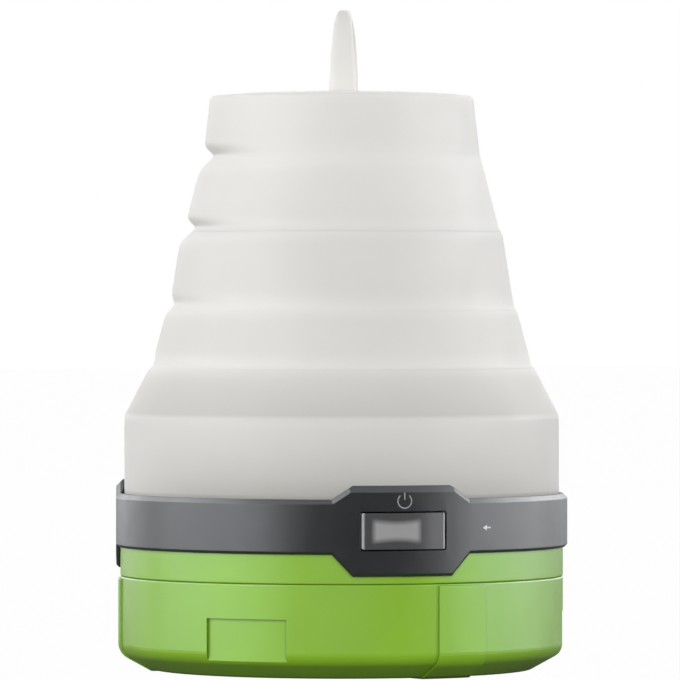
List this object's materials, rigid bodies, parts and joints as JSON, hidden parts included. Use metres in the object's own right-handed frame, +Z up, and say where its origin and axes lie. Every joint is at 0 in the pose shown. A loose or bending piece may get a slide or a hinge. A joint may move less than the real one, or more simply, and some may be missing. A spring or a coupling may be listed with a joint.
{
  "type": "camping lantern",
  "caption": "Folding camping lantern: round rechargeable base with a power button and covered ports, a stepped soft shade that folds flat and a hanging loop.",
  "frame": {"origin": "middle of the base on the plane that its feet stand on", "axes": "+Z up along the axis of the base and shade; -Y is the side of the power button"},
  "size_m": [0.1128, 0.1132, 0.1648],
  "materials": {
    "green_plastic": "satin moulded plastic",
    "charcoal_plastic": "fine satin moulded plastic",
    "charcoal_gloss": "smooth moulded plastic",
    "black_rubber": "matt rubber",
    "silicone": "translucent milky silicone",
    "steel": "zinc plated",
    "white_plastic": "matt white",
    "black_plastic": "matt black",
    "green_board": "solder mask",
    "white_board": "white solder mask on aluminium",
    "plated_shell": "nickel plated",
    "nickel": "nickel plated",
    "cell_sleeve": "sleeved",
    "red_wire": "insulated",
    "diode": "phosphor"
  },
  "bodies": {
    "base": {"lower_housing": "green_plastic", "upper_housing": "green_plastic", "housing_seal": "black_rubber", "housing_screws": "steel", "bezel_band": "charcoal_plastic", "tact_switch": "black_plastic", "control_board": "green_board", "board_screws": "steel", "board_parts": "black_plastic", "usb_inlet": "plated_shell", "usb_outlet": "plated_shell", "battery_cells": "cell_sleeve", "battery_holder": "black_plastic", "battery_contacts": "nickel", "holder_screws": "steel", "battery_wires": "red_wire", "clamp_ring": "white_plastic", "clamp_screws": "steel", "led_board": "white_board", "leds": "diode", "led_screws": "steel", "led_wires": "red_wire", "shade_skirt": "silicone", "shade_fold_lower": "silicone"},
    "button": {"power_button": "charcoal_gloss", "switch_plunger": "white_plastic"},
    "inlet_cover": {"inlet_cover": "black_rubber"},
    "outlet_cover": {"outlet_cover": "black_rubber"},
    "shade_middle": {"shade_middle": "silicone", "shade_fold_upper": "silicone"},
    "shade_top": {"shade_cap": "silicone", "hang_loop": "silicone"}
  },
  "joints": [
    {"name": "button_press", "type": "slide", "parent": "base", "child": "button", "axis": [0, 1, 0], "range_m": [0, 0.001], "stiffness_N_per_m": 800, "springref_m": -0.0006},
    {"name": "inlet_cover_hinge", "type": "hinge", "parent": "base", "child": "inlet_cover", "pos_m": [-0.04248, 0.03561, 0.03645], "axis": [0, 0, -1], "range_deg": [0, 110]},
    {"name": "outlet_cover_hinge", "type": "hinge", "parent": "base", "child": "outlet_cover", "pos_m": [0.05208, 0.01898, 0.03645], "axis": [0, 0, -1], "range_deg": [0, 110]},
    {"name": "lower_fold", "type": "slide", "parent": "base", "child": "shade_middle", "axis": [0, 0, -1], "range_m": [0, 0.0287], "deforming": ["shade_fold_lower"]},
    {"name": "upper_fold", "type": "slide", "parent": "shade_middle", "child": "shade_top", "axis": [0, 0, -1], "range_m": [0, 0.036], "deforming": ["shade_fold_upper"]}
  ]
}
